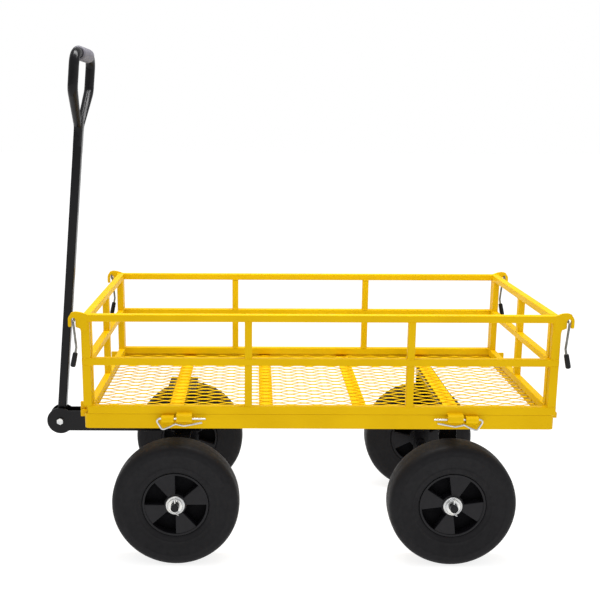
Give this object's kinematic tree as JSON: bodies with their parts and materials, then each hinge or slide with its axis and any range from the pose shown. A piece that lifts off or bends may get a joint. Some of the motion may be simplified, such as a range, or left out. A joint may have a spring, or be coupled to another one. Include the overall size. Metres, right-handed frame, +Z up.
{
  "type": "garden cart",
  "caption": "Mesh-deck garden cart with hinged side panels, a steered front axle, solid tyres and an upright tow handle with a D-shaped grip.",
  "frame": {"origin": "bottom centre of the whole cart's box, on the ground", "axes": "+Z up; the cart's length lies along X with the tow handle at -X; the two side panels face -Y and +Y"},
  "size_m": [1.0515, 0.4916, 1.0162],
  "materials": {
    "yellow_powder_coat": "bright yellow powder coat",
    "black_gloss_paint": "black gloss paint",
    "zinc_plate": "bright zinc plate",
    "black_rubber": "matt black rubber",
    "black_hub_plastic": "black moulded plastic",
    "grey_grip": "satin grey moulded grip",
    "black_vinyl": "black dipped vinyl"
  },
  "bodies": {
    "cart_tray": {"tray_frame": "yellow_powder_coat", "deck_mesh": "yellow_powder_coat", "deck_crossbar_1": "yellow_powder_coat", "deck_crossbar_2": "yellow_powder_coat", "deck_crossbar_3": "yellow_powder_coat", "deck_crossbar_4": "yellow_powder_coat", "rear_axle_support": "black_gloss_paint", "rear_axle": "black_gloss_paint", "front_mount": "black_gloss_paint", "turntable_washer": "zinc_plate", "kingpin": "zinc_plate", "kingpin_nut": "zinc_plate", "near_front_r_clip": "zinc_plate", "near_rear_r_clip": "zinc_plate", "far_front_r_clip": "zinc_plate", "far_rear_r_clip": "zinc_plate", "rear_near_washer": "zinc_plate", "rear_near_cotter": "zinc_plate", "rear_far_washer": "zinc_plate", "rear_far_cotter": "zinc_plate"},
    "front_axle_unit": {"front_axle_support": "black_gloss_paint", "front_axle": "black_gloss_paint", "tongue_fork": "black_gloss_paint", "handle_pivot_bolt": "zinc_plate", "handle_pivot_bolt_nut": "zinc_plate", "front_near_washer": "zinc_plate", "front_near_cotter": "zinc_plate", "front_far_washer": "zinc_plate", "front_far_cotter": "zinc_plate"},
    "tow_handle": {"handle_shaft": "black_gloss_paint", "handle_loop": "black_gloss_paint", "handle_grip": "grey_grip", "loop_bolt": "black_gloss_paint", "loop_bolt_nut": "black_gloss_paint"},
    "front_near_wheel": {"front_near_tyre": "black_rubber", "front_near_hub": "black_hub_plastic", "front_near_bush": "zinc_plate"},
    "front_far_wheel": {"front_far_tyre": "black_rubber", "front_far_hub": "black_hub_plastic", "front_far_bush": "zinc_plate"},
    "rear_near_wheel": {"rear_near_tyre": "black_rubber", "rear_near_hub": "black_hub_plastic", "rear_near_bush": "zinc_plate"},
    "rear_far_wheel": {"rear_far_tyre": "black_rubber", "rear_far_hub": "black_hub_plastic", "rear_far_bush": "zinc_plate"},
    "near_side": {"near_side_panel": "yellow_powder_coat"},
    "far_side": {"far_side_panel": "yellow_powder_coat"},
    "rear_gate": {"rear_panel": "yellow_powder_coat"},
    "front_gate": {"front_panel": "yellow_powder_coat"},
    "near_front_latch": {"near_front_latch_lever": "zinc_plate", "near_front_latch_lever_grip": "black_vinyl"},
    "near_rear_latch": {"near_rear_latch_lever": "zinc_plate", "near_rear_latch_lever_grip": "black_vinyl"},
    "far_front_latch": {"far_front_latch_lever": "zinc_plate", "far_front_latch_lever_grip": "black_vinyl"},
    "far_rear_latch": {"far_rear_latch_lever": "zinc_plate", "far_rear_latch_lever_grip": "black_vinyl"}
  },
  "joints": [
    {"name": "steering", "type": "hinge", "parent": "cart_tray", "child": "front_axle_unit", "pos_m": [-0.23125, 0, 0.2544], "axis": [0, 0, 1], "range_deg": [-35, 35]},
    {"name": "handle_lower", "type": "hinge", "parent": "front_axle_unit", "child": "tow_handle", "pos_m": [-0.49675, 0, 0.2321], "axis": [0, -1, 0], "range_deg": [0, 105]},
    {"name": "front_near_wheel_roll", "type": "hinge", "parent": "front_axle_unit", "child": "front_near_wheel", "pos_m": [-0.23125, -0.1925, 0.127], "axis": [0, 1, 0], "continuous": true},
    {"name": "front_far_wheel_roll", "type": "hinge", "parent": "front_axle_unit", "child": "front_far_wheel", "pos_m": [-0.23125, 0.1925, 0.127], "axis": [0, 1, 0], "continuous": true},
    {"name": "rear_near_wheel_roll", "type": "hinge", "parent": "cart_tray", "child": "rear_near_wheel", "pos_m": [0.31775, -0.1925, 0.127], "axis": [0, 1, 0], "continuous": true},
    {"name": "rear_far_wheel_roll", "type": "hinge", "parent": "cart_tray", "child": "rear_far_wheel", "pos_m": [0.31775, 0.1925, 0.127], "axis": [0, 1, 0], "continuous": true},
    {"name": "near_side_fold", "type": "hinge", "parent": "cart_tray", "child": "near_side", "pos_m": [0.04975, -0.2395, 0.3145], "axis": [1, 0, 0], "range_deg": [0, 105]},
    {"name": "far_side_fold", "type": "hinge", "parent": "cart_tray", "child": "far_side", "pos_m": [0.04975, 0.2395, 0.3145], "axis": [-1, 0, 0], "range_deg": [0, 105]},
    {"name": "rear_gate_fold", "type": "hinge", "parent": "cart_tray", "child": "rear_gate", "pos_m": [0.50825, 0, 0.3165], "axis": [0, 1, 0], "range_deg": [0, 95]},
    {"name": "front_gate_lift", "type": "slide", "parent": "cart_tray", "child": "front_gate", "axis": [0, 0, 1], "range_m": [0, 0.2]},
    {"name": "near_front_latch_swing", "type": "hinge", "parent": "near_side", "child": "near_front_latch", "pos_m": [-0.41575, -0.231, 0.5035], "axis": [0, 1, 0], "range_deg": [-5, 110]},
    {"name": "near_rear_latch_swing", "type": "hinge", "parent": "near_side", "child": "near_rear_latch", "pos_m": [0.51525, -0.231, 0.5035], "axis": [0, -1, 0], "range_deg": [-5, 110]},
    {"name": "far_front_latch_swing", "type": "hinge", "parent": "far_side", "child": "far_front_latch", "pos_m": [-0.41575, 0.231, 0.5035], "axis": [0, 1, 0], "range_deg": [-5, 110]},
    {"name": "far_rear_latch_swing", "type": "hinge", "parent": "far_side", "child": "far_rear_latch", "pos_m": [0.51525, 0.231, 0.5035], "axis": [0, -1, 0], "range_deg": [-5, 110]}
  ]
}
